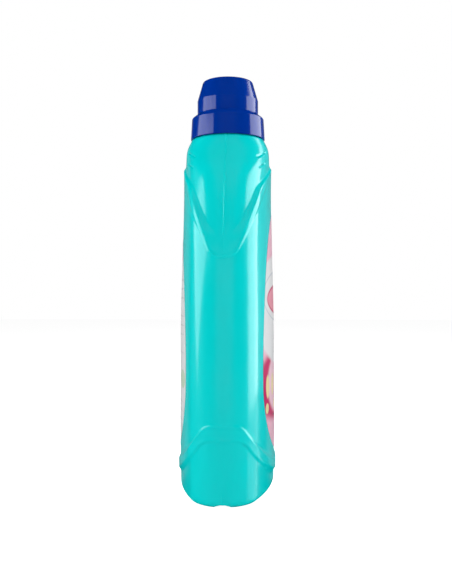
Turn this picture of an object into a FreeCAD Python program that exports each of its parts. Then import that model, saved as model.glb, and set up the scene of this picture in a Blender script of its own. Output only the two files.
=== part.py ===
import FreeCAD, Part
import Sketcher
import os
import math

# Laundry detergent bottle: a blow-moulded oval bottle whose lower body stands proud of the
# shoulder along a U-shaped yoke on each narrow end, with an arched ribbon near the base, a
# pouring spout snapped into the neck, a loose sealing ring, a one-piece dosing cap on a
# two-start thread, and two labels.
# Frame: X is the width, Y the thickness with the front label towards -Y, Z is up.
# The origin is the middle of the base, on the surface that the bottle stands on.

Vec = FreeCAD.Vector
doc = FreeCAD.newDocument("detergent_bottle")

# Each level of a form has its rise above the level below, its half width and its half depth.
BODY_LEVELS = [
    ("base", 0, 75.4, 32.2),
    ("foot", 30, 76.0, 32.6),
    ("hip", 50, 74.3, 32.5),
    ("waist", 46, 71.8, 32.0),
    ("chest", 26, 69.0, 31.3),
    ("rib", 23, 64.6, 30.8),
    ("yoke", 22, 56.5, 30.5),
    ("collar", 25, 43.0, 30.8),
]
SHOULDER_LEVELS = [
    ("root", 130, 67.0, 29.6),
    ("bib", 31, 66.2, 29.2),
    ("arm", 15, 61.4, 28.9),
    ("slope", 14, 56.0, 28.9),
    ("brow", 14, 49.8, 29.1),
    ("ledge", 12, 42.6, 29.4),
    ("crown", 9, 34.0, 29.2),
    ("throat", 7, 28.2, 28.4),
    ("land", 6.5, 25.4, 25.4),
]

# Every other size, in millimetres and degrees.
SIZES = {
    "oval_joint_angle": 69,
    "wall": 1.2,
    "base_wall": 1.8,
    "heel_radius": 5.5,
    # The yoke: the line above which the proud lower body is cut back to the shoulder form.
    "yoke_low": 152.2,
    "yoke_low_radius": 11.8,
    "yoke_low_half": 10.5,
    "yoke_side_radius": 234,
    "yoke_run_out": 0.85,
    "yoke_edge_radius": 0.8,
    # The ribbon: an arch seen from the narrow end, wrapped right round the bottle.
    "ribbon_top": 51,
    "ribbon_height": 10.8,
    "ribbon_flat_half": 8,
    "ribbon_slope": 57,
    "ribbon_corner_radius": 7,
    "ribbon_proud_end": 0.6,
    "ribbon_proud_side": 1.3,
    # The underside: a groove along the parting plane between two feet, and a shallow recess.
    "groove_half_width": 5.7,
    "groove_depth": 2.1,
    "recess_rim": 12,
    "recess_slope": 4,
    "recess_depth": 1.6,
    # The neck and its two-start thread; the same lead turns the cap.
    "neck_radius": 22.8,
    "neck_bore_radius": 21.4,
    "neck_length": 11,
    "thread_lead": 10,
    "thread_height": 1.1,
    "thread_root_width": 2,
    "thread_sink": 0.4,
    "thread_crest_width": 1,
    "thread_rise": 5.6,
    "thread_start": 2.4,
    # The pouring spout.
    "flange_thickness": 1.5,
    "plug_clearance": 0.05,
    "plug_wall": 1.3,
    "plug_depth": 13,
    "floor_drop": 2.5,
    "floor_thickness": 1.3,
    "trough_radius": 13,
    "trough_wall": 1.3,
    "trough_tip_height": 19,
    "trough_back_height": 5,
    "drain_slot_width": 8,
    # The sealing ring, held loosely inside the cap and lying on the spout's flange.
    "seal_thickness": 1,
    "seal_inner_radius": 20.8,
    "seal_side_gap": 0.3,
    # The dosing cap: skirt, sloped shoulder, straight cup and tapered cup end in one piece.
    "cap_gap": 0.7,
    "skirt_bottom_radius": 26.1,
    "skirt_top_radius": 25.3,
    "skirt_bore_radius": 24.3,
    "cap_wall": 1.3,
    "seat_width": 2.2,
    "seat_roof": 1.7,
    "cap_shoulder_rise": 3.1,
    "cup_radius": 21.4,
    "cup_straight": 9.7,
    "cup_taper_rise": 13.5,
    "cup_end_radius": 17.5,
    "cap_corner_radius": 1.6,
    "cap_rim_radius": 1.2,
    # The labels: an egg outline, narrower at the top, on the front and on the back.
    "label_thickness": 0.15,
    "label_glue": 0.05,
    "label_half_width": 50,
    "label_middle": 72,
    "label_low": 24,
    "front_label_top": 186,
    "back_label_top": 170,
}

for prefix, levels in (("body", BODY_LEVELS), ("shoulder", SHOULDER_LEVELS)):
    for name, rise, half_width, half_depth in levels:
        SIZES["%s_%s_rise" % (prefix, name)] = rise
        SIZES["%s_%s_half_width" % (prefix, name)] = half_width
        SIZES["%s_%s_half_depth" % (prefix, name)] = half_depth

sizes = doc.addObject("Spreadsheet::Sheet", "sizes")
for row, (alias, value) in enumerate(SIZES.items(), start=1):
    sizes.set("A%d" % row, alias)
    sizes.set("B%d" % row, str(value))
    sizes.setAlias("B%d" % row, alias)
doc.recompute()


def val(alias):
    """The plain number in the sheet under this name."""
    return float(sizes.get(alias))


def level_sum(prefix, levels, count):
    """The height of a level as an expression: the rises up to it, added up."""
    return " + ".join("sizes.%s_%s_rise" % (prefix, row[0]) for row in levels[:count])


LAND = "(%s)" % level_sum("shoulder", SHOULDER_LEVELS, len(SHOULDER_LEVELS))
NECK_TOP = "(%s + sizes.neck_length)" % LAND
FLANGE_TOP = "(%s + sizes.flange_thickness)" % NECK_TOP
SEAT = "(%s + sizes.seal_thickness)" % FLANGE_TOP
SKIRT_LOW = "(%s + sizes.cap_gap)" % LAND
YOKE_EDGE = "(sizes.body_collar_half_depth + sizes.yoke_run_out)"  # where its line has left the bottle
REACH = 120.0  # half length of the straight cutting prisms, past every side of the bottle
SLIVER = 0.01  # how near two levels or radii are taken as one when edges are looked up


def plane_of(body, role):
    """One origin plane of a body, found by its role."""
    for feature in body.Origin.OriginFeatures:
        if feature.Role == role:
            return feature
    raise ValueError(role)


def new_sketch(name, body=None, role=None):
    """A sketch on an origin plane of its body, or a free one in the XY plane."""
    if body is None:
        return doc.addObject("Sketcher::SketchObject", name)
    sketch = body.newObject("Sketcher::SketchObject", name)
    sketch.AttachmentSupport = [(plane_of(body, role), "")]
    sketch.MapMode = "FlatFace"
    return sketch


def bind(sketch, constraint, expression):
    """Add a sized constraint to a sketch and tie it to the sheet."""
    index = sketch.addConstraint(constraint)
    sketch.setExpression("Constraints[%d]" % index, expression)
    return index


def lay_oval(sketch, half_x, half_y):
    """Draw a closed oval of four tangent arcs; both half sizes are expressions.
    The arcs meet where the outline has turned by the joint angle, on every level alike."""
    joint = math.radians(val("oval_joint_angle"))
    share = math.tan(math.pi / 4 - joint / 2)
    a = float(sizes.evalExpression(half_x))
    b = float(sizes.evalExpression(half_y))
    end = (b - a * share) / (1 - share)
    side = end + (a - end) / math.cos(joint)
    drop = (a - end) * math.tan(joint)
    up = Vec(0, 0, 1)
    turn = math.pi
    arcs = [
        Part.ArcOfCircle(Part.Circle(Vec(a - end, 0, 0), up, end), -joint, joint),
        Part.ArcOfCircle(Part.Circle(Vec(0, -drop, 0), up, side), joint, turn - joint),
        Part.ArcOfCircle(Part.Circle(Vec(end - a, 0, 0), up, end), turn - joint, turn + joint),
        Part.ArcOfCircle(Part.Circle(Vec(0, drop, 0), up, side), turn + joint, 2 * turn - joint),
    ]
    sketch.addGeometry(arcs, False)
    rule = Sketcher.Constraint
    for near in range(4):
        sketch.addConstraint(rule("Coincident", near, 2, (near + 1) % 4, 1))
    sketch.addConstraint(rule("Symmetric", 0, 2, 0, 1, -1))
    sketch.addConstraint(rule("Symmetric", 0, 2, 1, 2, -2))
    sketch.addConstraint(rule("Symmetric", 1, 2, 2, 2, -1))
    sketch.addConstraint(rule("Equal", 0, 2))
    sketch.addConstraint(rule("Equal", 1, 3))
    slack = "tan(45 deg - sizes.oval_joint_angle * 0.5 deg)"
    end_text = "((%s) - (%s) * %s) / (1 - %s)" % (half_y, half_x, slack, slack)
    run_text = "((%s) - %s)" % (half_x, end_text)
    cos_text = "cos(sizes.oval_joint_angle * 1 deg)"
    sin_text = "sin(sizes.oval_joint_angle * 1 deg)"
    bind(sketch, rule("DistanceX", -1, 1, 0, 2, a - end + end * math.cos(joint)),
         "%s + %s * %s" % (run_text, end_text, cos_text))
    bind(sketch, rule("DistanceY", -1, 1, 0, 2, end * math.sin(joint)), "%s * %s" % (end_text, sin_text))
    bind(sketch, rule("Radius", 0, end), end_text)
    bind(sketch, rule("Radius", 1, side), "%s + %s / %s" % (end_text, run_text, cos_text))


def lay_outline(sketch, points):
    """Draw a closed outline of straight edges; each corner is a pair of expressions."""
    spots = [(float(sizes.evalExpression(x)), float(sizes.evalExpression(y))) for x, y in points]
    count = len(spots)
    for near in range(count):
        x0, y0 = spots[near]
        x1, y1 = spots[(near + 1) % count]
        sketch.addGeometry(Part.LineSegment(Vec(x0, y0, 0), Vec(x1, y1, 0)), False)
    rule = Sketcher.Constraint
    for near in range(count):
        sketch.addConstraint(rule("Coincident", near, 2, (near + 1) % count, 1))
    for near, (x_text, y_text) in enumerate(points):
        x, y = spots[near]
        if x_text == "0":
            sketch.addConstraint(rule("PointOnObject", near, 1, -2))
        else:
            bind(sketch, rule("DistanceX", -1, 1, near, 1, x), x_text)
        if y_text == "0":
            sketch.addConstraint(rule("PointOnObject", near, 1, -1))
        else:
            bind(sketch, rule("DistanceY", -1, 1, near, 1, y), y_text)


def lay_yoke(sketch, grow):
    """Draw the region above the U-shaped yoke line, seen along X; grow, an expression, widens it."""
    more = float(sizes.evalExpression(grow))
    low = val("yoke_low") - more
    radius = val("yoke_low_radius") + more
    half = val("yoke_low_half") + more
    side = val("yoke_side_radius") + more
    edge = float(sizes.evalExpression(YOKE_EDGE)) + more
    angle = math.asin(half / radius)
    join_y = low + radius - radius * math.cos(angle)
    hub_x = half - side * math.sin(angle)
    hub_y = join_y + side * math.cos(angle)
    end = math.asin((edge - hub_x) / side)
    top = hub_y - side * math.cos(end)
    far = REACH
    high = REACH * 3
    up = Vec(0, 0, 1)
    quarter = math.pi / 2
    rule = Sketcher.Constraint
    low_circle = Part.Circle(Vec(0, low + radius, 0), up, radius)
    sketch.addGeometry(
        [
            Part.ArcOfCircle(low_circle, -quarter - angle, angle - quarter),
            Part.ArcOfCircle(Part.Circle(Vec(hub_x, hub_y, 0), up, side), angle - quarter, end - quarter),
            Part.LineSegment(Vec(edge, top, 0), Vec(far, top, 0)),
            Part.LineSegment(Vec(far, top, 0), Vec(far, high, 0)),
            Part.LineSegment(Vec(far, high, 0), Vec(-far, high, 0)),
            Part.LineSegment(Vec(-far, high, 0), Vec(-far, top, 0)),
            Part.LineSegment(Vec(-far, top, 0), Vec(-edge, top, 0)),
            Part.ArcOfCircle(Part.Circle(Vec(-hub_x, hub_y, 0), up, side), -quarter - end, -quarter - angle),
        ],
        False,
    )
    bound = [
        rule("PointOnObject", 0, 3, -2),
        rule("Horizontal", 0, 1, 0, 2),
        rule("Tangent", 0, 2, 1, 1),
        rule("Coincident", 1, 2, 2, 1),
        rule("Horizontal", 2),
        rule("Coincident", 2, 2, 3, 1),
        rule("Vertical", 3),
        rule("Coincident", 3, 2, 4, 1),
        rule("Horizontal", 4),
        rule("Coincident", 4, 2, 5, 1),
        rule("Vertical", 5),
        rule("Coincident", 5, 2, 6, 1),
        rule("Coincident", 6, 2, 7, 1),
        rule("Coincident", 7, 2, 0, 1),
        rule("Equal", 1, 7),
        rule("Symmetric", 1, 2, 7, 1, -2),
        rule("DistanceX", -1, 1, 2, 2, far),
        rule("DistanceX", 5, 1, -1, 1, far),
        rule("DistanceY", -1, 1, 3, 2, high),
    ]
    sketch.addConstraint(bound)
    bind(sketch, rule("Radius", 0, radius), "sizes.yoke_low_radius + " + grow)
    bind(sketch, rule("DistanceY", -1, 1, 0, 3, low + radius), "sizes.yoke_low + sizes.yoke_low_radius")
    bind(sketch, rule("DistanceX", -1, 1, 0, 2, half), "sizes.yoke_low_half + " + grow)
    bind(sketch, rule("Radius", 1, side), "sizes.yoke_side_radius + " + grow)
    bind(sketch, rule("DistanceX", -1, 1, 1, 2, edge), YOKE_EDGE + " + " + grow)


def add(kind, name, **values):
    """A new object with some of its properties set."""
    thing = doc.addObject(kind, name)
    for key, value in values.items():
        setattr(thing, key, value)
    return thing


def tie(thing, **texts):
    """Bind properties of an object to the sheet; a double underscore stands for a dot."""
    for key, text in texts.items():
        thing.setExpression(key.replace("__", "."), text)
    return thing


def loft_form(name, prefix, levels, grow_x, grow_y, lift="0", rise="0"):
    """A solid through a form's ovals; grow is added to the half sizes, lift raises the lowest
    level and rise the highest."""
    sketches = []
    for index, row in enumerate(levels):
        sketch = new_sketch("%s_%s" % (name, row[0]))
        height = level_sum(prefix, levels, index + 1)
        if index == 0:
            height += " + " + lift
        if index == len(levels) - 1:
            height += " + " + rise
        tie(sketch, Placement__Base__z="1 mm * (%s)" % height)
        half_x = "sizes.%s_%s_half_width + %s" % (prefix, row[0], grow_x)
        half_y = "sizes.%s_%s_half_depth + %s" % (prefix, row[0], grow_y)
        lay_oval(sketch, half_x, half_y)
        sketches.append(sketch)
    loft = add("Part::Loft", name, Sections=sketches, Solid=True, Ruled=False)
    doc.recompute()
    return loft


def edges_where(shape, test):
    """Numbers of a shape's edges that pass a test."""
    return [index + 1 for index, edge in enumerate(shape.Edges) if test(edge.BoundBox)]


def round_edges(name, base, numbers, radius):
    """Round some edges of an object."""
    fillet = add("Part::Fillet", name, Base=base)
    fillet.Edges = [(number, radius, radius) for number in numbers]
    doc.recompute()
    return fillet


def side_prism(name, sketch):
    """A prism along X through the whole bottle from a sketch drawn in Y and Z."""
    sketch.Placement = FreeCAD.Placement(Vec(0, 0, 0), FreeCAD.Rotation(Vec(1, 1, 1), 120))
    return add("Part::Extrusion", name, Base=sketch, DirMode="Custom", Dir=Vec(1, 0, 0),
               LengthFwd=REACH, LengthRev=REACH, Solid=True)


def bottle_form(name, shrink, floor, grow):
    """The bottle below its neck: the lower body, cut back above the yoke line, over the
    shoulder form. shrink is taken off every side and floor is the height of the bottom."""
    low = loft_form(name + "_low", "body", BODY_LEVELS, shrink, shrink, floor)
    foot = low.Shape.BoundBox.ZMin + SLIVER
    heel_radius = float(sizes.evalExpression("sizes.heel_radius + " + shrink))
    heel_edges = edges_where(low.Shape, lambda box: box.ZMax < foot)
    heel = round_edges(name + "_heel", low, heel_edges, heel_radius)
    yoke = new_sketch(name + "_yoke_line")
    lay_yoke(yoke, grow)
    cut = add("Part::Cut", name + "_proud", Base=heel, Tool=side_prism(name + "_yoke", yoke))
    doc.recompute()
    if grow == "0":
        brink = val("yoke_low") - SLIVER
        rim = edges_where(cut.Shape, lambda box: box.ZMin > brink and
                          (abs(box.XMin + box.XMax) > SLIVER or box.YMax - box.YMin > SLIVER))
        cut = round_edges(name + "_yoke_edge", cut, rim, val("yoke_edge_radius"))
    high = loft_form(name + "_high", "shoulder", SHOULDER_LEVELS, shrink, shrink, "0", shrink)
    both = add("Part::Fuse", name, Base=cut, Tool=high)
    doc.recompute()
    return both


def lay_arch(sketch, top_text):
    """Draw an arch that runs down to far below the base, seen along X; its flat top is at
    the height of the expression."""
    flat = val("ribbon_flat_half")
    radius = val("ribbon_corner_radius")
    slope = math.radians(val("ribbon_slope"))
    top = float(sizes.evalExpression(top_text))
    bend_x = flat + radius * math.sin(slope)
    bend_y = top - radius + radius * math.cos(slope)
    end_y = bend_y - (REACH - bend_x) * math.tan(slope)
    low = -REACH * 3
    up = Vec(0, 0, 1)
    quarter = math.pi / 2
    rule = Sketcher.Constraint
    sketch.addGeometry(
        [
            Part.LineSegment(Vec(-flat, top, 0), Vec(flat, top, 0)),
            Part.ArcOfCircle(Part.Circle(Vec(flat, top - radius, 0), up, radius), quarter - slope, quarter),
            Part.LineSegment(Vec(bend_x, bend_y, 0), Vec(REACH, end_y, 0)),
            Part.LineSegment(Vec(REACH, end_y, 0), Vec(REACH, low, 0)),
            Part.LineSegment(Vec(REACH, low, 0), Vec(-REACH, low, 0)),
            Part.LineSegment(Vec(-REACH, low, 0), Vec(-REACH, end_y, 0)),
            Part.LineSegment(Vec(-REACH, end_y, 0), Vec(-bend_x, bend_y, 0)),
            Part.ArcOfCircle(Part.Circle(Vec(-flat, top - radius, 0), up, radius), quarter, quarter + slope),
        ],
        False,
    )
    sketch.addConstraint(
        [
            rule("Symmetric", 0, 1, 0, 2, -2),
            rule("Tangent", 0, 2, 1, 2),
            rule("Tangent", 1, 1, 2, 1),
            rule("Coincident", 2, 2, 3, 1),
            rule("Vertical", 3),
            rule("Coincident", 3, 2, 4, 1),
            rule("Horizontal", 4),
            rule("Coincident", 4, 2, 5, 1),
            rule("Vertical", 5),
            rule("Coincident", 5, 2, 6, 1),
            rule("Symmetric", 2, 2, 6, 1, -2),
            rule("Tangent", 0, 1, 7, 1),
            rule("Tangent", 7, 2, 6, 2),
            rule("Equal", 1, 7),
            rule("DistanceX", -1, 1, 2, 2, REACH),
            rule("DistanceY", 3, 2, -1, 1, -low),
        ]
    )
    bind(sketch, rule("DistanceX", -1, 1, 0, 2, flat), "sizes.ribbon_flat_half")
    bind(sketch, rule("DistanceY", -1, 1, 0, 2, top), top_text)
    bind(sketch, rule("Radius", 1, radius), "sizes.ribbon_corner_radius")
    bind(sketch, rule("Angle", 2, -slope), "-1 deg * sizes.ribbon_slope")


def ribbon_band():
    """The raised ribbon: what lies between two arches of a slightly larger lower body."""
    skin = loft_form("ribbon_skin", "body", BODY_LEVELS, "sizes.ribbon_proud_end", "sizes.ribbon_proud_side")
    upper = new_sketch("ribbon_upper_line")
    lay_arch(upper, "sizes.ribbon_top")
    lower = new_sketch("ribbon_lower_line")
    lay_arch(lower, "sizes.ribbon_top - sizes.ribbon_height")
    band = add("Part::Cut", "ribbon_region", Base=side_prism("ribbon_upper", upper),
               Tool=side_prism("ribbon_lower", lower))
    return add("Part::Common", "ribbon", Base=skin, Tool=band)


def base_tools(name, grow):
    """What is cut out of the underside: a sloped oval recess and the groove along X. The
    cavity leaves the same shapes standing, larger by the wall."""
    base = BODY_LEVELS[0][0]
    sides = ("sizes.body_%s_half_width" % base, "sizes.body_%s_half_depth" % base)
    rings = []
    for index in range(2):
        ring = new_sketch("%s_recess_%d" % (name, index))
        inset = "- sizes.recess_rim - %d * sizes.recess_slope + %s" % (index, grow)
        lay_oval(ring, "%s %s" % (sides[0], inset), "%s %s" % (sides[1], inset))
        rings.append(ring)
    tie(rings[1], Placement__Base__z="1 mm * (sizes.recess_depth + %s)" % grow)
    recess = add("Part::Loft", name + "_recess", Sections=rings, Solid=True, Ruled=True)
    bow = "((sizes.groove_half_width ^ 2 + sizes.groove_depth ^ 2) / (2 * sizes.groove_depth))"
    groove = add("Part::Cylinder", name + "_groove", Height=2 * REACH)
    groove.Placement = FreeCAD.Placement(Vec(-REACH, 0, 0), FreeCAD.Rotation(Vec(0, 1, 0), 90))
    tie(groove, Radius="1 mm * (%s + %s)" % (bow, grow),
        Placement__Base__z="1 mm * (sizes.groove_depth - %s)" % bow)
    return add("Part::Fuse", name, Base=recess, Tool=groove)


def tube(name, radius, low, high):
    """An upright cylinder between two heights; all three are expressions."""
    pin = add("Part::Cylinder", name)
    return tie(pin, Radius="1 mm * (%s)" % radius, Height="1 mm * ((%s) - (%s))" % (high, low),
               Placement__Base__z="1 mm * (%s)" % low)


def thread_ridge(name, wall, outward, start, angle):
    """One ridge of the thread on a cylinder wall, from a start height, at an angle."""
    way = 1 if outward else -1
    turn = FreeCAD.Rotation(Vec(0, 0, 1), angle)
    helix = add("Part::Helix", name + "_path")
    helix.Placement = FreeCAD.Placement(Vec(0, 0, 0), turn)
    tie(helix, Pitch="1 mm * sizes.thread_lead", Height="1 mm * sizes.thread_rise",
        Radius="1 mm * (%s)" % wall, Placement__Base__z="1 mm * (%s)" % start)
    profile = new_sketch(name + "_profile")
    root = "(%s) - %d * sizes.thread_sink" % (wall, way)
    crest = "(%s) + %d * sizes.thread_height" % (wall, way)
    lay_outline(profile, [
        (root, "sizes.thread_root_width / -2"),
        (crest, "sizes.thread_crest_width / -2"),
        (crest, "sizes.thread_crest_width / 2"),
        (root, "sizes.thread_root_width / 2"),
    ])
    profile.Placement = FreeCAD.Placement(Vec(0, 0, 0), turn * FreeCAD.Rotation(Vec(1, 0, 0), 90))
    tie(profile, Placement__Base__z="1 mm * (%s)" % start)
    doc.recompute()
    return add("Part::Sweep", name, Sections=[profile], Spine=(helix, ["Edge1"]), Solid=True, Frenet=True)


def thread_pair(name, wall, outward, start, angle):
    """The two ridges of a two-start thread, half a turn apart."""
    return [thread_ridge("%s_%d" % (name, index), wall, outward, start, angle + 180 * index)
            for index in range(2)]


def make_bottle():
    """The blow-moulded bottle: one hollow piece with its neck and thread."""
    outer = bottle_form("outer_form", "0", "0", "0")
    inner = bottle_form("inner_form", "(-sizes.wall)", "sizes.base_wall", "sizes.wall")
    neck = tube("neck", "sizes.neck_radius", LAND + " - sizes.wall", NECK_TOP)
    bore = tube("neck_bore", "sizes.neck_bore_radius", LAND + " - 4 * sizes.wall", NECK_TOP + " + sizes.wall")
    ridges = thread_pair("neck_thread", "sizes.neck_radius", True, LAND + " + sizes.thread_start", 0)
    mass = add("Part::MultiFuse", "bottle_mass", Shapes=[outer, ribbon_band(), neck] + ridges)
    mould = add("Part::Cut", "bottle_moulded", Base=mass, Tool=base_tools("base_cut", "0"))
    room = add("Part::Cut", "cavity_room", Base=inner, Tool=base_tools("base_skin", "sizes.base_wall"))
    cavity = add("Part::Fuse", "cavity", Base=room, Tool=bore)
    bottle = add("Part::Cut", "bottle", Base=mould, Tool=cavity)
    doc.recompute()
    return bottle


def revolved(name, points):
    """A body turned about Z from an outline of radius and height expressions."""
    body = doc.addObject("PartDesign::Body", name)
    profile = new_sketch(name + "_profile", body, "XZ_Plane")
    lay_outline(profile, points)
    turned = body.newObject("PartDesign::Revolution", name + "_turned")
    turned.Profile = profile
    turned.ReferenceAxis = (profile, ["V_Axis"])
    turned.Angle = 360
    doc.recompute()
    return body, turned


def cut_away(body, name, points, role):
    """Cut a straight-sided region right through a body, both ways from an origin plane."""
    sketch = new_sketch(name + "_line", body, role)
    lay_outline(sketch, points)
    cut = body.newObject("PartDesign::Pocket", name)
    cut.Profile = sketch
    cut.Type = 1
    cut.Midplane = True
    doc.recompute()
    return cut


def make_spout():
    """The pouring spout: flange, plug, drain-back floor and an open trough with a lip."""
    bore = "sizes.neck_bore_radius - sizes.plug_clearance"
    plug_in = bore + " - sizes.plug_wall"
    plug_low = NECK_TOP + " - sizes.plug_depth"
    tip = FLANGE_TOP + " + sizes.trough_tip_height"
    trough_in = "sizes.trough_radius - sizes.trough_wall"
    floor_low = plug_low + " - sizes.floor_drop"
    body, turned = revolved("pouring_spout", [
        (plug_in, FLANGE_TOP),
        (plug_in, plug_low + " + sizes.floor_thickness"),
        ("sizes.trough_radius", floor_low + " + sizes.floor_thickness"),
        ("sizes.trough_radius", tip),
        (trough_in, tip),
        (trough_in, floor_low),
        ("sizes.trough_radius", floor_low),
        (bore, plug_low),
        (bore, NECK_TOP),
        ("sizes.neck_radius", NECK_TOP),
        ("sizes.neck_radius", FLANGE_TOP),
    ])
    back_top = FLANGE_TOP + " + sizes.trough_back_height"
    over = tip + " + sizes.trough_wall"
    beyond = "sizes.trough_radius + sizes.trough_wall"
    cut_away(body, "spout_lip", [
        ("-(%s)" % beyond, back_top),
        ("sizes.trough_radius", tip),
        ("sizes.trough_radius", over),
        ("-(%s)" % beyond, over),
    ], "XZ_Plane")
    slot = new_sketch("spout_drain_line", body, "YZ_Plane")
    lay_outline(slot, [
        ("sizes.drain_slot_width / -2", floor_low + " + sizes.floor_thickness"),
        ("sizes.drain_slot_width / 2", floor_low + " + sizes.floor_thickness"),
        ("sizes.drain_slot_width / 2", over),
        ("sizes.drain_slot_width / -2", over),
    ])
    drain = body.newObject("PartDesign::Pocket", "spout_drain")
    drain.Profile = slot
    drain.Type = 0
    tie(drain, Length="1 mm * (sizes.trough_radius + sizes.plug_wall)")
    doc.recompute()
    return body


def make_seal():
    """The flat sealing ring."""
    outside = tube("seal_disc", "sizes.skirt_bore_radius - sizes.seal_side_gap", FLANGE_TOP, SEAT)
    hole = tube("seal_hole", "sizes.seal_inner_radius", FLANGE_TOP, SEAT)
    return add("Part::Cut", "sealing_ring", Base=outside, Tool=hole)


def make_cap():
    """The dosing cap in one piece, with the thread inside its skirt."""
    roof = SEAT + " + sizes.seat_roof"
    cup_low = roof + " + sizes.cap_shoulder_rise"
    cup_bend = cup_low + " + sizes.cup_straight"
    top = cup_bend + " + sizes.cup_taper_rise"
    cup_in = "sizes.cup_radius - sizes.cap_wall"
    seat_in = "sizes.skirt_bore_radius - sizes.seat_width"
    body, turned = revolved("cap_shell", [
        ("sizes.skirt_bottom_radius", SKIRT_LOW),
        ("sizes.skirt_top_radius", roof),
        ("sizes.cup_radius", cup_low),
        ("sizes.cup_radius", cup_bend),
        ("sizes.cup_end_radius", top),
        ("0", top),
        ("0", top + " - sizes.cap_wall"),
        ("sizes.cup_end_radius - sizes.cap_wall", top + " - sizes.cap_wall"),
        (cup_in, cup_bend),
        (cup_in, cup_low + " - sizes.cap_wall"),
        (seat_in, SEAT),
        ("sizes.skirt_bore_radius", SEAT),
        ("sizes.skirt_bore_radius", SKIRT_LOW),
    ])

    last = turned
    for name, radius, height in (("rim", "skirt_top_radius", roof), ("corner", "cup_end_radius", top)):
        reach = val(radius)
        level = float(sizes.evalExpression(height))
        numbers = edges_where(last.Shape, lambda box: abs(box.XMax - reach) < SLIVER and
                              abs(box.ZMin - level) < SLIVER and abs(box.ZMax - level) < SLIVER)
        fillet = body.newObject("PartDesign::Fillet", "cap_" + name)
        fillet.Base = (last, ["Edge%d" % number for number in numbers])
        tie(fillet, Radius="1 mm * sizes.cap_%s_radius" % name)
        doc.recompute()
        last = fillet
    start = LAND + " + sizes.thread_start"
    ridges = thread_pair("cap_thread", "sizes.skirt_bore_radius", False, start, 90)
    return add("Part::MultiFuse", "dosing_cap", Shapes=[body] + ridges)


def half_egg(name, tall, wide, upper):
    """One half of an egg-shaped prism along Y: an elliptic prism cut at the widest level."""
    egg = add("Part::Ellipse", name + "_line")
    turn = FreeCAD.Rotation(Vec(1, 0, 0), 90)
    if upper:
        egg.Placement = FreeCAD.Placement(Vec(0, 0, 0), turn * FreeCAD.Rotation(Vec(0, 0, 1), 90))
        tie(egg, MajorRadius="1 mm * (%s)" % tall, MinorRadius="1 mm * (%s)" % wide)
    else:
        egg.Placement = FreeCAD.Placement(Vec(0, 0, 0), turn)
        tie(egg, MajorRadius="1 mm * (%s)" % wide, MinorRadius="1 mm * (%s)" % tall)
    tie(egg, Placement__Base__z="1 mm * sizes.label_middle")
    prism = add("Part::Extrusion", name + "_prism", Base=egg, DirMode="Custom", Dir=Vec(0, 1, 0),
                LengthFwd=REACH, Solid=True)
    half = add("Part::Box", name + "_side", Length=2 * REACH, Width=2 * REACH, Height=3 * REACH)
    half.Placement = FreeCAD.Placement(Vec(-REACH, -REACH, 0), FreeCAD.Rotation())
    level = "sizes.label_middle" if upper else "(sizes.label_middle - %g)" % (3 * REACH)
    tie(half, Placement__Base__z="1 mm * %s" % level)
    return add("Part::Common", name, Base=prism, Tool=half)


def make_label(name, skin, top, angle):
    """A label: the part inside an egg outline of a thin skin over the proud lower body."""
    wide = "sizes.label_half_width"
    upper = half_egg(name + "_upper", "%s - sizes.label_middle" % top, wide, True)
    lower = half_egg(name + "_lower", "sizes.label_middle - sizes.label_low", wide, False)
    egg = add("Part::Fuse", name + "_egg", Base=upper, Tool=lower)
    egg.Placement = FreeCAD.Placement(Vec(0, 0, 0), FreeCAD.Rotation(Vec(0, 0, 1), angle))
    return add("Part::Common", name, Base=skin, Tool=egg)


def make_labels():
    """The front label towards -Y and the back label towards +Y."""
    under_grow = "sizes.label_glue"
    over_grow = "(sizes.label_glue + sizes.label_thickness)"
    under = loft_form("label_under", "body", BODY_LEVELS, under_grow, under_grow)
    over = loft_form("label_over", "body", BODY_LEVELS, over_grow, over_grow)
    skin = add("Part::Cut", "label_skin", Base=over, Tool=under)
    front = make_label("front_label", skin, "sizes.front_label_top", 180)
    back = make_label("back_label", skin, "sizes.back_label_top", 0)
    return [front, back]


def faults():
    """Every object that failed, by name."""
    return [thing.Name for thing in doc.Objects if "Invalid" in thing.State or "Error" in thing.State]


pieces = [make_bottle(), make_spout(), make_seal(), make_cap()] + make_labels()
doc.recompute()
failed = faults()
for piece in pieces:
    shape = piece.Shape
    if shape.isNull() or not shape.isValid() or len(shape.Solids) != 1:
        failed.append(piece.Label)
    else:
        print(piece.Label, "%.0f mm3" % shape.Volume)
if failed:
    raise SystemExit("failed: " + ", ".join(failed))

os.makedirs("parts", exist_ok=True)
for piece in pieces:
    piece.Shape.exportStep("parts/%s.step" % piece.Label)
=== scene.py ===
import bpy
import bmesh
from math import sin, cos, tan, radians, pi, sqrt, exp, asin, acos, hypot
from mathutils import Matrix, Vector
from functools import lru_cache


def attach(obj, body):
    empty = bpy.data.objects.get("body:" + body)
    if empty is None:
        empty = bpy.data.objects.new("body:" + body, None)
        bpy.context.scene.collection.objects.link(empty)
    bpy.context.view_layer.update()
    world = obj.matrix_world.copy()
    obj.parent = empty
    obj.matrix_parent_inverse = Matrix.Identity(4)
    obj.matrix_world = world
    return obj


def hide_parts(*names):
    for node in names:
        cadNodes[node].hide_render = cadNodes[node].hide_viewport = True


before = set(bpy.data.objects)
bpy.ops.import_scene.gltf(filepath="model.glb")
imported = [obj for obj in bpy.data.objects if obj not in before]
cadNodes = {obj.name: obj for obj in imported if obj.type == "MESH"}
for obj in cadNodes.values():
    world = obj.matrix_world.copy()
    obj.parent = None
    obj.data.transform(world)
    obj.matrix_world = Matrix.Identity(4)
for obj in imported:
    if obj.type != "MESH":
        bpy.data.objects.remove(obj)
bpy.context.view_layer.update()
scene = bpy.context.scene
mm = 0.001
print("frame loaded")


# The bottle's outside is one surface. Its levels are the ones the solids are made from:
# height, half width and half depth in mm, every level an oval of four tangent arcs.

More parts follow.
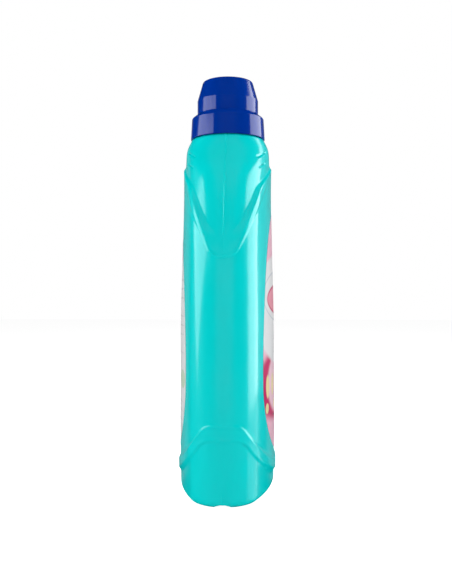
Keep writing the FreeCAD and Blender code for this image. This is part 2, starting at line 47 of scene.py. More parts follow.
body = {
    "levels": [
        (0.0, 75.4, 32.2),
        (30.0, 76.0, 32.6),
        (80.0, 74.3, 32.5),
        (126.0, 71.8, 32.0),
        (152.0, 69.0, 31.3),
        (175.0, 64.6, 30.8),
        (197.0, 56.5, 30.5),
        (222.0, 43.0, 30.8),
    ],
    "heel": 3.8,
    "jointAngle": 69.0,
}

shoulder = {
    "levels": [
        (130.0, 67.0, 29.6),
        (161.0, 66.2, 29.2),
        (176.0, 61.4, 28.9),
        (190.0, 56.0, 28.9),
        (204.0, 49.8, 29.1),
        (216.0, 42.6, 29.4),
        (225.0, 34.0, 29.2),
        (232.0, 28.2, 28.4),
        (238.5, 25.4, 25.4),
    ],
}

yoke = {
    "low": 152.2,
    "lowRadius": 11.8,
    "lowHalf": 10.5,
    "sideRadius": 234.0,
    "lip": 3.5,  # width of the lip beside the shoulder
    "lipLow": 1.3,  # and at the bottom of the U
    "proud": 0.55,  # how far the lip stands out of the body
    "flank": 1.5,  # width of its outer flank
    "wall": 3.0,  # width of the steep wall inside the lip
    "wallLow": 13.0,  # and at the bottom of the U
    "steepFrom": 156.0,
    "steepOver": 25.0,
    "narrowFrom": 198.0,
    "narrowOver": 18.0,
    "narrowing": 0.8,
}

ribbon = {
    "top": 51.0,
    "height": 10.8,
    "flatHalf": 6.4,
    "slope": 57.0,
    "cornerRadius": 10.0,
    "proudEnd": 0.35,
    "proudSide": 1.3,
    "edge": 1.3,
    "piping": 0.26,  # the small bead along both edges at the narrow ends
    "pipingHalf": 0.65,
}

foot = {
    "grooveHalf": 5.7,
    "grooveDepth": 2.1,
    "rim": 12.0,
    "slope": 4.0,
    "recess": 1.6,
    "floorWall": 1.8,
}

partingLine = {
    "halfWidth": 0.34,
    "height": 0.34,
    "fadeLow": 152.0,
    "fadeOver": 30.0,
    "footFade": 6.0,
    "footOver": 8.0,
}

gripMarks = {
    "strokes": [((26.1, 223.0), (13.3, 228.0)), ((30.9, 215.0), (19.5, 219.5))],  # X and Z of both ends
    "depth": 0.62,
    "halfWidth": 0.5,
}

neck = {
    "radius": 22.8,
    "bore": 21.4,
    "land": 238.5,
    "top": 249.5,
    "wall": 1.2,
}


def naturalSpline(points):
    count = len(points)
    xs = [p[0] for p in points]
    ys = [p[1] for p in points]
    bend = [0.0] * count
    work = [0.0] * count
    for i in range(1, count - 1):
        share = (xs[i] - xs[i - 1]) / (xs[i + 1] - xs[i - 1])
        pivot = share * bend[i - 1] + 2.0
        bend[i] = (share - 1.0) / pivot
        jump = (ys[i + 1] - ys[i]) / (xs[i + 1] - xs[i]) - (ys[i] - ys[i - 1]) / (xs[i] - xs[i - 1])
        work[i] = (6.0 * jump / (xs[i + 1] - xs[i - 1]) - share * work[i - 1]) / pivot
    for i in range(count - 2, -1, -1):
        bend[i] = bend[i] * bend[i + 1] + work[i]

    @lru_cache(maxsize=None)
    def read(x):
        x = min(max(x, xs[0]), xs[-1])
        i = 0
        while i < count - 2 and x > xs[i + 1]:
            i += 1
        step = xs[i + 1] - xs[i]
        a = (xs[i + 1] - x) / step
        b = (x - xs[i]) / step
        curve = (a ** 3 - a) * bend[i] + (b ** 3 - b) * bend[i + 1]
        return a * ys[i] + b * ys[i + 1] + curve * step * step / 6.0

    return read


def halfSizes(levels):
    wide = naturalSpline([(z, a) for z, a, b in levels])
    deep = naturalSpline([(z, b) for z, a, b in levels])
    return wide, deep


bodyWide, bodyDeep = halfSizes(body["levels"])
shoulderWide, shoulderDeep = halfSizes(shoulder["levels"])
joint = radians(body["jointAngle"])
jointShare = tan(pi / 4 - joint / 2)


def ovalArcs(a, b):
    end = (b - a * jointShare) / (1 - jointShare)
    run = a - end
    side = end + run / cos(joint)
    drop = run * tan(joint)
    return end, run, side, drop


def ovalPoint(a, b, angle):  # angle is the way the outline's normal points
    end, run, side, drop = ovalArcs(a, b)
    x = cos(angle)
    y = sin(angle)
    if abs(x) > cos(joint):
        return (run * (1 if x > 0 else -1) + end * x, end * y)
    return (side * x, side * y - drop * (1 if y > 0 else -1))


def smooth(value):
    value = min(max(value, 0.0), 1.0)
    return value * value * (3 - 2 * value)


def yokeDepth(y, z):  # how far a point lies above the yoke line, in mm
    y = abs(y)
    angle = asin(yoke["lowHalf"] / yoke["lowRadius"])
    hubZ = yoke["low"] + yoke["lowRadius"]
    joinZ = hubZ - yoke["lowRadius"] * cos(angle)
    farY = yoke["lowHalf"] - yoke["sideRadius"] * sin(angle)
    farZ = joinZ + yoke["sideRadius"] * cos(angle)
    if y * cos(angle) < (hubZ - z) * sin(angle):
        return yoke["lowRadius"] - hypot(y, z - hubZ)
    return yoke["sideRadius"] - hypot(y - farY, z - farZ)


def yokeStep(depth, z):  # the share of the step down to the shoulder, and how far the lip stands out
    steep = smooth((z - yoke["steepFrom"]) / yoke["steepOver"])
    narrow = 1 - yoke["narrowing"] * smooth((z - yoke["narrowFrom"]) / yoke["narrowOver"])
    lip = (yoke["lipLow"] + (yoke["lip"] - yoke["lipLow"]) * steep) * narrow
    wall = (yoke["wallLow"] + (yoke["wall"] - yoke["wallLow"]) * steep) * narrow
    onWall = min(max((depth - lip) / wall, 0.0), 1.0)
    share = onWall * (3 - onWall * onWall) / 2
    proud = yoke["proud"] * narrow * smooth(depth / min(yoke["flank"], lip))
    return share, proud * (1 - smooth((depth - lip) / min(wall, lip)))


def archDepth(y, z, top):  # how far a point lies below an arch of the ribbon, in mm
    slope = radians(ribbon["slope"])
    radius = ribbon["cornerRadius"]
    dy = abs(y) - ribbon["flatHalf"]
    dz = z - top + radius
    if dy <= 0:
        return radius - dz
    if dy * cos(slope) < dz * sin(slope):
        return radius - hypot(dy, dz)
    return radius - (dy * sin(slope) + dz * cos(slope))


def ribbonHeight(y, z, angle):
    upper = archDepth(y, z, ribbon["top"])
    lower = archDepth(y, z, ribbon["top"] - ribbon["height"])
    edge = ribbon["edge"]
    lift = smooth(upper / edge) * smooth(-lower / edge)
    proud = ribbon["proudEnd"] + (ribbon["proudSide"] - ribbon["proudEnd"]) * sin(angle) ** 2
    beads = sum(exp(-(away / ribbon["pipingHalf"]) ** 2) for away in (upper - edge, lower + edge))
    return proud * lift + beads * ribbon["piping"] * cos(angle) ** 2


def markDepth(x, z):
    x = abs(x)
    deepest = 0.0
    for (x0, z0), (x1, z1) in gripMarks["strokes"]:
        along = ((x - x0) * (x1 - x0) + (z - z0) * (z1 - z0)) / ((x1 - x0) ** 2 + (z1 - z0) ** 2)
        held = min(max(along, 0.0), 1.0)
        away = hypot(x - x0 - held * (x1 - x0), z - z0 - held * (z1 - z0))
        deepest = max(deepest, exp(-(away / gripMarks["halfWidth"]) ** 2))
    return gripMarks["depth"] * deepest


def grooveRoof(y):
    half = foot["grooveHalf"]
    depth = foot["grooveDepth"]
    bow = (half * half + depth * depth) / (2 * depth)
    if abs(y) >= half:
        return 0.0
    return depth - bow + sqrt(bow * bow - y * y)


def shellPoint(angle, z, inward=0.0):
    bodyTop = body["levels"][-1][0]
    inset = inward
    if z < body["heel"]:
        inset += body["heel"] - sqrt(body["heel"] ** 2 - (body["heel"] - z) ** 2)
    x, y = ovalPoint(bodyWide(min(z, bodyTop)), bodyDeep(min(z, bodyTop)), angle)
    lift = 0.0
    if z > shoulder["levels"][0][0]:
        high = ovalPoint(shoulderWide(z), shoulderDeep(z), angle)
        above, proud = yokeStep(yokeDepth(y, z), z)
        x += (high[0] - x) * above
        y += (high[1] - y) * above
        if inward == 0.0:
            lift += proud
            ridge = exp(-(y / partingLine["halfWidth"]) ** 2) * partingLine["height"]
            lift += ridge * smooth((z - partingLine["fadeLow"]) / partingLine["fadeOver"])
            lift -= markDepth(x, z)
    elif inward == 0.0:
        lift += ribbonHeight(y, z, angle)
        ridge = exp(-(y / partingLine["halfWidth"]) ** 2) * partingLine["height"]
        lift += ridge * (1 - smooth((z - partingLine["footFade"]) / partingLine["footOver"]))
    x += cos(angle) * (lift - inset)
    y += sin(angle) * (lift - inset)
    return (x, y, max(z, grooveRoof(y)))


def footPoint(angle, inset, share, raised=0.0):  # share shrinks the recess towards the middle
    _, a, b = body["levels"][0]
    x, y = ovalPoint(a - inset, b - inset, angle)
    x *= share
    y *= share
    sunk = min(max((inset - foot["rim"]) / foot["slope"], 0.0), 1.0) * foot["recess"]
    return (x, y, max(sunk, grooveRoof(y)) + raised)


def spread(start, end, step):
    count = max(1, round((end - start) / step))
    return [start + (end - start) * i / count for i in range(count)]


def shellAngles():  # close together at the parting line, and where the sides are nearly flat
    quarter = [0.0, 0.25, 0.5, 0.75, 1.05, 1.5] + spread(2.2, 48.0, 1.6) + spread(48.0, 64.0, 1.0)
    quarter += spread(64.0, 74.0, 0.7) + spread(74.0, 90.0, 1.0) + [90.0]
    half = quarter + [180.0 - a for a in reversed(quarter[:-1])]
    full = half + [180.0 + a for a in half[1:]]
    return [radians(a) for a in full]


def shellStations():
    heel = body["heel"]
    rim = foot["rim"]
    inner = rim + foot["slope"]
    wall = neck["wall"]
    land = neck["land"]
    radius = neck["radius"]
    bore = neck["bore"]
    top = neck["top"]
    stations = [("foot", inner, i / 12, 0.0) for i in range(12)]
    stations += [("foot", inner - 4 * i / 6, 1.0, 0.0) for i in range(6)]
    stations += [("foot", inset, 1.0, 0.0) for inset in (12.0, 10.5, 8.5, 6.8)]
    stations += [("shell", heel * (1 - cos(radians(a))), 0.0) for a in range(0, 90, 9)]
    heights = spread(heel, 14.0, 1.2) + spread(14.0, 53.0, 0.7)
    heights += spread(53.0, 150.0, 4.0) + spread(150.0, 160.0, 0.5)
    heights += spread(160.0, 213.0, 0.85) + spread(213.0, 229.0, 0.45) + spread(229.0, land, 0.95) + [land]
    stations += [("shell", z, 0.0) for z in heights]
    rings = [(23.6, land), (23.1, land + 0.12), (22.86, land + 0.4), (radius, land + 0.9)]
    rings += [(radius, top - 0.8), (22.65, top - 0.3), (22.3, top), (21.8, top), (21.5, top - 0.15)]
    rings += [(bore, top - 0.5), (bore, land - wall), (bore + 0.8, land - 2.2 * wall)]
    stations += [("ring", r, z) for r, z in rings]
    rooms = (234.5, 231, 226, 220, 212, 204, 196, 188, 180, 172, 166, 160, 155, 150, 130, 100, 60, 30, 12, 7, 4, 2.4)
    stations += [("shell", z, wall) for z in rooms]
    floor = foot["floorWall"]
    stations += [("foot", inset, 1.0, floor) for inset in (8.5, 10.5, rim, 14.0, inner)]
    stations += [("foot", inner, 1 - i / 8, floor) for i in range(1, 9)]
    return stations


def placeOnShell(station, angle):
    kind = station[0]
    if kind == "foot":
        return footPoint(angle, station[1], station[2], station[3])
    if kind == "shell":
        return shellPoint(angle, station[1], station[2])
    return (station[1] * cos(angle), station[1] * sin(angle), station[2])


def newObject(name, mesh):
    data = bpy.data.meshes.new(name)
    mesh.to_mesh(data)
    mesh.free()
    for face in data.polygons:
        face.use_smooth = True
    obj = bpy.data.objects.new(name, data)
    scene.collection.objects.link(obj)
    return obj


def shapedGrid(mesh, columns, rows, place):  # place gives a point in mm for a column and a row
    made = bmesh.ops.create_grid(mesh, x_segments=columns, y_segments=rows, size=0.5)
    for vert in made["verts"]:
        column = round((vert.co.x + 0.5) * columns)
        row = round((vert.co.y + 0.5) * rows)
        vert.co = Vector(place(column, row)) * mm
    return made["verts"]


def turnedPath(corners, segments=4, margin=0.2):  # corners are radius, height and rounding
    path = []
    for i, (r, z, rounding) in enumerate(corners):
        here = Vector((r, z))
        if rounding == 0 or i == 0 or i == len(corners) - 1:
            path.append(here)
            continue
        back = Vector(corners[i - 1][:2]) - here
        ahead = Vector(corners[i + 1][:2]) - here
        half = back.angle(ahead) / 2
        reach = rounding / tan(half)
        hub = here + (back.normalized() + ahead.normalized()).normalized() * (rounding / sin(half))
        first = here + back.normalized() * reach
        last = here + ahead.normalized() * reach
        if back.length > reach + 2 * margin:
            path.append(first + back.normalized() * margin)
        turn = (first - hub).angle_signed(last - hub)
        for k in range(segments + 1):
            spoke = (first - hub).copy()
            t = -turn * k / segments
            path.append(hub + Vector((spoke.x * cos(t) - spoke.y * sin(t), spoke.x * sin(t) + spoke.y * cos(t))))
        if ahead.length > reach + 2 * margin:
            path.append(last + ahead.normalized() * margin)
    return path


def turned(mesh, path, steps):  # spins a path of radius and height, in mm, round Z
    verts = [mesh.verts.new((p.x * mm, 0, p.y * mm)) for p in path]
    edges = [mesh.edges.new(pair) for pair in zip(verts, verts[1:])]
    bmesh.ops.spin(mesh, geom=verts + edges, cent=(0, 0, 0), axis=(0, 0, 1), angle=2 * pi,
                   steps=steps, use_merge=True)
    bmesh.ops.remove_doubles(mesh, verts=mesh.verts, dist=1e-6)


thread = {
    "lead": 10.0,
    "rise": 5.6,
    "height": 1.1,
    "sink": 0.4,
    "root": 2.0,
    "crest": 1.0,
    "start": 2.4,
    "taper": 0.12,  # share of the ridge over which each end fades into the wall
    "tuck": 0.05,  # how far the faded ends lie inside the wall
    "steps": 72,
}


def threadRidge(mesh, wall, outward, start, angle):
    way = 1 if outward else -1
    low = wall - way * thread["sink"]
    high = wall + way * thread["height"]
    turn = 2 * pi * thread["rise"] / thread["lead"]
    section = [(low, -thread["root"] / 2), (high, -thread["crest"] / 2),
               (high, thread["crest"] / 2), (low, thread["root"] / 2)]
    ridge = bmesh.new()  # made apart, because spin is slow on a large mesh
    verts = [ridge.verts.new((r * mm, 0, (start + z) * mm)) for r, z in section]
    edges = [ridge.edges.new((verts[i], verts[(i + 1) % 4])) for i in range(4)]
    bmesh.ops.spin(ridge, geom=verts + edges, cent=(0, 0, 0), axis=(0, 0, 1), angle=turn,
                   dvec=(0, 0, thread["rise"] * mm / thread["steps"]), steps=thread["steps"], use_merge=False)
    for vert in ridge.verts:
        turnedBy = Vector((vert.co.x, vert.co.y)).angle_signed(Vector((1, 0)))
        along = (turnedBy % (2 * pi)) / turn
        ends = smooth(min(along, 1 - along) / thread["taper"])
        radius = hypot(vert.co.x, vert.co.y) / mm
        if (radius - wall) * way > 0:
            keep = (wall + (radius - wall) * ends - way * thread["tuck"] * (1 - ends)) / radius
            vert.co.x *= keep
            vert.co.y *= keep
    bmesh.ops.holes_fill(ridge, edges=[e for e in ridge.edges if e.is_boundary], sides=4)
    bmesh.ops.recalc_face_normals(ridge, faces=ridge.faces)
    bmesh.ops.rotate(ridge, verts=ridge.verts, cent=(0, 0, 0), matrix=Matrix.Rotation(angle, 3, "Z"))
    data = bpy.data.meshes.new("ridge")
    ridge.to_mesh(data)
    ridge.free()
    mesh.from_mesh(data)
    bpy.data.meshes.remove(data)


def makeShell():
    angles = shellAngles()
    stations = shellStations()
    mesh = bmesh.new()
    shapedGrid(mesh, len(angles) - 1, len(stations) - 1, lambda c, r: placeOnShell(stations[r], angles[c]))
    bmesh.ops.remove_doubles(mesh, verts=mesh.verts, dist=2e-6)
    for half in range(2):
        threadRidge(mesh, neck["radius"], True, neck["land"] + thread["start"], pi * half)
    shell = newObject("bottleShell", mesh)
    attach(shell, "bottle_body")
    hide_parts("bottle")
    return shell


shell = makeShell()
print("bottle shell", len(shell.data.polygons), "faces")


cap = {
    "low": 239.2,
    "seat": 252.0,
    "roof": 253.7,
    "shoulder": 256.8,
    "bend": 266.5,
    "top": 280.0,
    "skirtLow": 26.1,
    "skirtHigh": 25.3,
    "bore": 24.3,
    "cup": 21.4,
    "cupEnd": 17.5,
    "wall": 1.3,
    "seatWidth": 2.2,
    "rim": 1.2,
    "corner": 1.6,
    "steps": 160,
}


def makeCap():
    wall = cap["wall"]
    cupIn = cap["cup"] - wall
    corners = [
        (0.0, cap["top"], 0),
        (cap["cupEnd"], cap["top"], cap["corner"]),
        (cap["cup"], cap["bend"], 0.5),
        (cap["cup"], cap["shoulder"], 0.25),
        (cap["skirtHigh"], cap["roof"], cap["rim"]),
        (cap["skirtLow"], cap["low"], 0.3),
        (cap["bore"], cap["low"], 0.3),
        (cap["bore"], cap["seat"], 0.2),
        (cap["bore"] - cap["seatWidth"], cap["seat"], 0.2),
        (cupIn, cap["shoulder"] - wall, 0.3),
        (cupIn, cap["bend"], 0.5),
        (cap["cupEnd"] - wall, cap["top"] - wall, 0.8),
        (0.0, cap["top"] - wall, 0),
    ]
    mesh = bmesh.new()
    turned(mesh, turnedPath(corners), cap["steps"])
    bmesh.ops.recalc_face_normals(mesh, faces=mesh.faces)
    for half in range(2):
        threadRidge(mesh, cap["bore"], False, neck["land"] + thread["start"], pi / 2 + pi * half)
    obj = newObject("dosingCap", mesh)
    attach(obj, "cap_body")
    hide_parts("dosing_cap")
    return obj


dosingCap = makeCap()
print("dosing cap", len(dosingCap.data.polygons), "faces")


label = {
    "halfWidth": 50.0,
    "middle": 72.0,
    "low": 24.0,
    "frontTop": 186.0,
    "backTop": 170.0,
    "glue": 0.06,
    "thickness": 0.14,
    "columns": 110,
    "rows": 150,
}


def labelPoint(across, z, side, proud):  # across is X, side is -1 for the front and 1 for the back
    a = bodyWide(z)
    b = bodyDeep(z)
    end, run, flat, drop = ovalArcs(a, b)
    if abs(across) > flat * cos(joint):
        angle = acos(min((abs(across) - run) / end, 1.0))
    else:
        angle = acos(abs(across) / flat)
    x, y = ovalPoint(a, b, angle)
    x = (x + cos(angle) * proud) * (1 if across > 0 else -1)
    return (x, (y + sin(angle) * proud) * side, z)


def makeLabel(name, node, side, top):
    rows = label["rows"]
    columns = label["columns"]

    def place(column, row):
        sweep = pi * row / rows  # from the lowest point to the top, closer together at both ends
        if sweep < pi / 2:
            z = label["middle"] - (label["middle"] - label["low"]) * cos(sweep)
        else:
            z = label["middle"] - (top - label["middle"]) * cos(sweep)
        share = -cos(pi * column / columns)
        return labelPoint(share * label["halfWidth"] * sin(sweep), z, side, label["glue"])

    mesh = bmesh.new()
    shapedGrid(mesh, columns, rows, place)
    bmesh.ops.remove_doubles(mesh, verts=mesh.verts, dist=1e-6)
    bmesh.ops.recalc_face_normals(mesh, faces=mesh.faces)
    middle = min(mesh.faces, key=lambda f: abs(f.calc_center_median().x))
    if middle.normal.y * side < 0:
        bmesh.ops.reverse_faces(mesh, faces=mesh.faces)
    bmesh.ops.solidify(mesh, geom=mesh.faces[:], thickness=-label["thickness"] * mm)
    bmesh.ops.recalc_face_normals(mesh, faces=mesh.faces)
    obj = newObject(name, mesh)
    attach(obj, "bottle_body")
    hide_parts(node)
    return obj


frontLabel = makeLabel("frontLabel", "front_label", -1, label["frontTop"])
backLabel = makeLabel("backLabel", "back_label", 1, label["backTop"])
print("labels made")


def newMaterial(name):
    material = bpy.data.materials.new(name)
    material.use_nodes = True
    tree = material.node_tree
    tree.nodes.clear()
    output = tree.nodes.new("ShaderNodeOutputMaterial")
    shader = tree.nodes.new("ShaderNodeBsdfPrincipled")
    tree.links.new(shader.outputs["BSDF"], output.inputs["Surface"])
    return material, tree, shader


def addNode(tree, kind, **settings):
    node = tree.nodes.new(kind)
    for key, value in settings.items():
        if key in node.inputs:
            node.inputs[key].default_value = value
        else:
            setattr(node, key, value)
    return node


def wear(obj, material):
    obj.data.materials.clear()
    obj.data.materials.append(material)


def noise(tree, coordinates, scale, detail=2.0):
    node = addNode(tree, "ShaderNodeTexNoise", Scale=scale, Detail=detail)
    tree.links.new(coordinates, node.inputs["Vector"])
    return node.outputs["Fac"]


def spreadValue(tree, value, low, high):  # maps 0.3 to 0.7 of a noise to low to high
    node = addNode(tree, "ShaderNodeMapRange")
    node.inputs["From Min"].default_value = 0.3
    node.inputs["From Max"].default_value = 0.7
    node.inputs["To Min"].default_value = low
    node.inputs["To Max"].default_value = high
    tree.links.new(value, node.inputs["Value"])
    return node.outputs["Result"]


def mixColour(tree, factor, first, second):
    node = addNode(tree, "ShaderNodeMix", data_type="RGBA")
    if isinstance(factor, float):
        node.inputs[0].default_value = factor
    else:
        tree.links.new(factor, node.inputs[0])
    for slot, colour in ((6, first), (7, second)):
        if isinstance(colour, tuple):
            node.inputs[slot].default_value = colour
        else:
            tree.links.new(colour, node.inputs[slot])
    return node.outputs[2]


def addBump(tree, shader, height, distance):
    bump = addNode(tree, "ShaderNodeBump", Strength=1.0, Distance=distance)
    tree.links.new(height, bump.inputs["Height"])
    tree.links.new(bump.outputs["Normal"], shader.inputs["Normal"])


shellLook = {
    "colour": (0.0, 0.735, 0.73, 1.0),
    "paler": (0.0, 0.76, 0.755, 1.0),
    "roughness": (0.15, 0.2),
    "peelScale": 700.0,
    "peelHeight": 0.00002,
}


def shellMaterial():
    material, tree, shader = newMaterial("tealShell")
    coordinates = tree.nodes.new("ShaderNodeTexCoord").outputs["Object"]
    cloud = noise(tree, coordinates, 22.0, 3.0)
    colour = mixColour(tree, cloud, shellLook["colour"], shellLook["paler"])
    tree.links.new(colour, shader.inputs["Base Color"])
    rough = spreadValue(tree, noise(tree, coordinates, 60.0, 4.0), *shellLook["roughness"])
    tree.links.new(rough, shader.inputs["Roughness"])
    addBump(tree, shader, noise(tree, coordinates, shellLook["peelScale"], 3.0), shellLook["peelHeight"])
    shader.inputs["IOR"].default_value = 1.5
    return material


capLook = {
    "colour": (0.0, 0.032, 0.32, 1.0),
    "paler": (0.0, 0.038, 0.35, 1.0),
    "roughness": (0.1, 0.14),
    "lineScale": 260.0,
    "lineHeight": 0.000008,
}


def capMaterial():
    material, tree, shader = newMaterial("blueCap")
    coordinates = tree.nodes.new("ShaderNodeTexCoord").outputs["Object"]
    colour = mixColour(tree, noise(tree, coordinates, 30.0), capLook["colour"], capLook["paler"])
    tree.links.new(colour, shader.inputs["Base Color"])
    rough = spreadValue(tree, noise(tree, coordinates, 90.0, 4.0), *capLook["roughness"])
    tree.links.new(rough, shader.inputs["Roughness"])
    lines = addNode(tree, "ShaderNodeTexWave", wave_type="BANDS", bands_direction="Z",
                    Scale=capLook["lineScale"], Distortion=1.5, Detail=3.0)
    tree.links.new(coordinates, lines.inputs["Vector"])
    addBump(tree, shader, lines.outputs["Fac"], capLook["lineHeight"])
    shader.inputs["IOR"].default_value = 1.5
    return material


def ovalMask(tree, coordinates, centre, half, soft=0.04):  # 1 inside an oval in X and Z, in mm
    shift = addNode(tree, "ShaderNodeMapping", vector_type="POINT")
    shift.inputs["Location"].default_value = (-centre[0] / half[0], 0, -centre[1] / half[1])
    shift.inputs["Scale"].default_value = (1 / (half[0] * mm), 0, 1 / (half[1] * mm))
    tree.links.new(coordinates, shift.inputs["Vector"])
    length = addNode(tree, "ShaderNodeVectorMath", operation="LENGTH")
    tree.links.new(shift.outputs["Vector"], length.inputs[0])
    inside = addNode(tree, "ShaderNodeMapRange", interpolation_type="SMOOTHSTEP")
    inside.inputs["From Min"].default_value = 1 + soft
    inside.inputs["From Max"].default_value = 1 - soft
    tree.links.new(length.outputs["Value"], inside.inputs["Value"])
    return inside.outputs["Result"]


frontPrint = {
    "pink": (0.93, 0.44, 0.60, 1.0),
    "palePink": (0.96, 0.62, 0.74, 1.0),
    "white": (0.86, 0.87, 0.89, 1.0),
    "magenta": (0.60, 0.012, 0.13, 1.0),
    "rose": (0.88, 0.32, 0.42, 1.0),
    "yellow": (0.93, 0.78, 0.40, 1.0),
    "grey": (0.42, 0.50, 0.62, 1.0),
}


def frontMaterial():
    material, tree, shader = newMaterial("frontPrint")
    coordinates = tree.nodes.new("ShaderNodeTexCoord").outputs["Object"]
    cloud = noise(tree, coordinates, 28.0, 2.0)
    colour = mixColour(tree, cloud, frontPrint["pink"], frontPrint["palePink"])
    layers = [
        ((0, 70), (66, 25), 0.12, frontPrint["magenta"]),
        ((0, 71), (40, 22), 0.1, frontPrint["palePink"]),
        ((0, 120), (66, 37), 0.05, frontPrint["white"]),
        ((0, 129), (47.5, 17), 0.025, frontPrint["grey"]),
        ((0, 129), (46.9, 16.4), 0.025, frontPrint["white"]),
        ((0, 127), (38, 10), 0.05, frontPrint["magenta"]),
        ((0, 127), (36.4, 8.6), 0.05, frontPrint["rose"]),
    ]
    for x in (-40, -24, -8, 8, 24, 40):
        layers.append(((x, 70), (4.4, 7.5), 0.15, frontPrint["yellow"]))
    for x in (-42, -14, 14, 42):
        layers.append(((x, 56), (4.0, 3.4), 0.15, frontPrint["yellow"]))
    for centre, half, soft, ink in layers:
        colour = mixColour(tree, ovalMask(tree, coordinates, centre, half, soft), colour, ink)
    tree.links.new(colour, shader.inputs["Base Color"])
    shader.inputs["Roughness"].default_value = 0.22
    addBump(tree, shader, noise(tree, coordinates, 260.0, 2.0), 0.00002)
    return material


backPrint = {
    "white": (0.86, 0.87, 0.88, 1.0),
    "paler": (0.88, 0.89, 0.90, 1.0),
    "grey": (0.66, 0.68, 0.70, 1.0),
    "green": (0.62, 0.78, 0.60, 1.0),
    "pink": (0.93, 0.60, 0.72, 1.0),
}


def backMaterial():
    material, tree, shader = newMaterial("backPrint")
    coordinates = tree.nodes.new("ShaderNodeTexCoord").outputs["Object"]
    colour = mixColour(tree, noise(tree, coordinates, 40.0), backPrint["white"], backPrint["paler"])
    layers = [((0, 166), (60, 14), 0.06, backPrint["pink"])]
    for z in (140, 134, 128, 116, 110, 104, 92, 60, 54, 48):
        layers.append(((0, z), (41, 0.7), 0.25, backPrint["grey"]))
    for x in (-40, 0, 40):
        layers.append(((x, 75), (9, 6), 0.08, backPrint["green"]))
    for centre, half, soft, ink in layers:
        colour = mixColour(tree, ovalMask(tree, coordinates, centre, half, soft), colour, ink)
    tree.links.new(colour, shader.inputs["Base Color"])
    shader.inputs["Roughness"].default_value = 0.25
    addBump(tree, shader, noise(tree, coordinates, 260.0, 2.0), 0.00002)
    return material


spoutLook = {"colour": (0.80, 0.82, 0.83, 1.0), "roughness": 0.35}
sealLook = {"colour": (0.74, 0.74, 0.70, 1.0), "roughness": 0.7}


def plainMoulding(name, look, grain, height):
    material, tree, shader = newMaterial(name)
    coordinates = tree.nodes.new("ShaderNodeTexCoord").outputs["Object"]
    darker = tuple(c * 0.93 for c in look["colour"][:3]) + (1.0,)
    colour = mixColour(tree, noise(tree, coordinates, 40.0), look["colour"], darker)
    tree.links.new(colour, shader.inputs["Base Color"])
    shader.inputs["Roughness"].default_value = look["roughness"]
    addBump(tree, shader, noise(tree, coordinates, grain, 3.0), height)
    return material


wear(shell, shellMaterial())
wear(dosingCap, capMaterial())
wear(frontLabel, frontMaterial())
wear(backLabel, backMaterial())
wear(cadNodes["pouring_spout"], plainMoulding("whiteSpout", spoutLook, 600.0, 0.00002))
wear(cadNodes["sealing_ring"], plainMoulding("foamSeal", sealLook, 1500.0, 0.00006))
print("materials worn")


# The camera looks at a narrow end, with the front label on its right.

view = {"turn": 2.66, "distance": 0.5246, "height": 0.1319, "aside": 0.0013, "lens": 45.6}


def compass(degrees, rise=0.0):  # a direction, turned from the camera's own way towards image right
    turn = radians(270 + view["turn"] + degrees)
    level = cos(radians(rise))
    return Vector((sin(turn) * level, -cos(turn) * level, sin(radians(rise))))


def makeCamera():
    data = bpy.data.cameras.new("camera")
    data.lens = view["lens"]
    data.sensor_width = 36.0
    data.clip_start = 0.01
    camera = bpy.data.objects.new("camera", data)
    away = compass(0)
    right = Vector((-away.y, away.x, 0))
    spot = away * view["distance"] - right * view["aside"]
    spot.z = view["height"]
    camera.location = spot
    camera.rotation_euler = (-away).to_track_quat("-Z", "Y").to_euler()
    scene.collection.objects.link(camera)
    scene.camera = camera


makeCamera()

studio = {
    "aim": 0.14,
    "reach": 0.9,
    "leftGloss": 0.85,
    "leftTopGloss": 0.18,
    "rightGloss": 2.8,
    "rightOuterGloss": 0.06,
    "lowGloss": 0.25,
    "cardGloss": 0.6,
    "sidePower": 6.8,
    "topPower": 4.2,
    "frontPower": 3.7,
    "backPower": 2.4,
    "room": 0.02,
    "floorGlow": 0.95,
}


def softbox(name, spot, aim, width, height, power, roll=0.0, diffuse=True, glossy=True):
    data = bpy.data.lights.new(name, "AREA")
    data.shape = "RECTANGLE"
    data.size = width
    data.size_y = height
    data.energy = power
    lamp = bpy.data.objects.new(name, data)
    lamp.location = spot
    facing = (Vector((0, 0, aim)) - spot).to_track_quat("-Z", "Y").to_matrix()
    lamp.rotation_euler = (facing @ Matrix.Rotation(roll, 3, "Z")).to_euler()
    lamp.visible_camera = False
    lamp.visible_glossy = glossy
    lamp.visible_diffuse = diffuse
    scene.collection.objects.link(lamp)


def strip(name, degrees, away, height, width, tall, power, roll=0.0):  # mirrored in the gloss only
    spot = compass(degrees) * away + Vector((0, 0, height))
    softbox(name, spot, height, width, tall, power, radians(roll), diffuse=False)


def fill(name, degrees, rise, power):  # lights the surface only
    spot = compass(degrees, rise) * studio["reach"] + Vector((0, 0, studio["aim"]))
    softbox(name, spot, studio["aim"], 0.9, 0.9, power, glossy=False)


strip("leftStrip", -85, 0.38, 0.272, 0.32, 0.31, studio["leftGloss"], roll=45)
strip("leftTopStrip", -56, 0.458, 0.35, 0.17, 0.13, studio["leftTopGloss"])
strip("rightStrip", 100, 0.427, 0.285, 0.42, 0.55, studio["rightGloss"])
strip("rightOuterStrip", 132, 0.563, 0.285, 0.24, 0.55, studio["rightOuterGloss"])
strip("lowStrip", 100, 0.427, -0.1, 0.46, 0.2, studio["lowGloss"])
strip("backCard", 180, 0.9, 0.2, 1.2, 0.9, studio["cardGloss"])
for side, name in ((-1, "left"), (1, "right")):
    fill(name + "Fill", 97 * side, 8, studio["sidePower"])
    fill(name + "BackFill", 140 * side, 8, studio["backPower"])
fill("topFill", 0, 80, studio["topPower"])
fill("frontFill", 0, 12, studio["frontPower"])


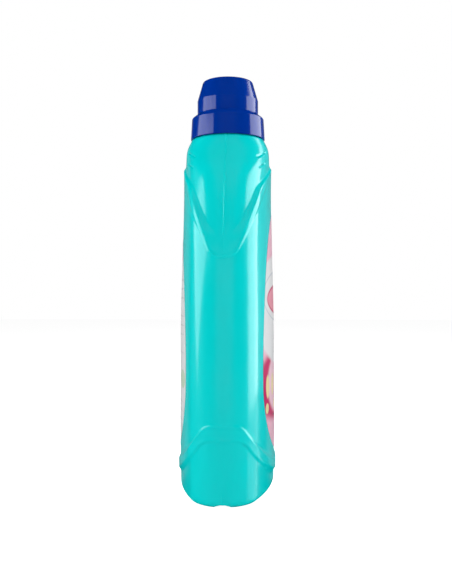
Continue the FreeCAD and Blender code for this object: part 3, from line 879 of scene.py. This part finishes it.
def makeWorld():
    world = bpy.data.worlds.new("room")
    world.use_nodes = True
    tree = world.node_tree
    tree.nodes.clear()
    output = tree.nodes.new("ShaderNodeOutputWorld")
    back = addNode(tree, "ShaderNodeBackground", Color=(1, 1, 1, 1))
    rays = tree.nodes.new("ShaderNodeLightPath")
    seen = addNode(tree, "ShaderNodeMath", operation="ADD", use_clamp=True)
    tree.links.new(rays.outputs["Is Camera Ray"], seen.inputs[0])
    tree.links.new(rays.outputs["Is Glossy Ray"], seen.inputs[1])
    seenToo = addNode(tree, "ShaderNodeMath", operation="ADD", use_clamp=True)
    tree.links.new(seen.outputs[0], seenToo.inputs[0])
    tree.links.new(rays.outputs["Is Transmission Ray"], seenToo.inputs[1])
    level = addNode(tree, "ShaderNodeMapRange")
    level.inputs["To Min"].default_value = studio["room"]
    level.inputs["To Max"].default_value = 1.0
    tree.links.new(seenToo.outputs[0], level.inputs["Value"])
    tree.links.new(level.outputs["Result"], back.inputs["Strength"])
    tree.links.new(back.outputs[0], output.inputs["Surface"])
    scene.world = world


makeWorld()


def stageSheet(name, size):
    mesh = bmesh.new()
    bmesh.ops.create_grid(mesh, x_segments=1, y_segments=1, size=size / 2)
    sheet = newObject(name, mesh)
    return sheet


def makeFloor():
    floor = stageSheet("floor", 6.0)
    material = bpy.data.materials.new("paleFloor")
    material.use_nodes = True
    tree = material.node_tree
    tree.nodes.clear()
    output = tree.nodes.new("ShaderNodeOutputMaterial")
    matt = addNode(tree, "ShaderNodeBsdfDiffuse", Color=(0.9, 0.9, 0.9, 1))
    glow = addNode(tree, "ShaderNodeEmission", Color=(1, 1, 1, 1))
    rays = tree.nodes.new("ShaderNodeLightPath")
    level = addNode(tree, "ShaderNodeMath", operation="MULTIPLY")
    level.inputs[1].default_value = studio["floorGlow"]
    tree.links.new(rays.outputs["Is Camera Ray"], level.inputs[0])
    tree.links.new(level.outputs[0], glow.inputs["Strength"])
    both = tree.nodes.new("ShaderNodeAddShader")
    tree.links.new(matt.outputs[0], both.inputs[0])
    tree.links.new(glow.outputs[0], both.inputs[1])
    tree.links.new(both.outputs[0], output.inputs["Surface"])
    wear(floor, material)
    floor.visible_glossy = False


makeFloor()


def makeDarkTent():  # black cloth round the set, seen only in the gloss
    mesh = bmesh.new()
    bmesh.ops.create_cone(mesh, cap_ends=True, segments=48, radius1=2.4, radius2=2.4, depth=4.0)
    tent = newObject("darkTent", mesh)
    material, tree, shader = newMaterial("blackCloth")
    shader.inputs["Base Color"].default_value = (0.0, 0.0, 0.0, 1)
    shader.inputs["Roughness"].default_value = 1.0
    shader.inputs["Specular IOR Level"].default_value = 0.0
    wear(tent, material)
    tent.visible_camera = False
    tent.visible_diffuse = False
    tent.visible_transmission = False
    tent.visible_shadow = False


makeDarkTent()

scene.view_settings.view_transform = "Standard"
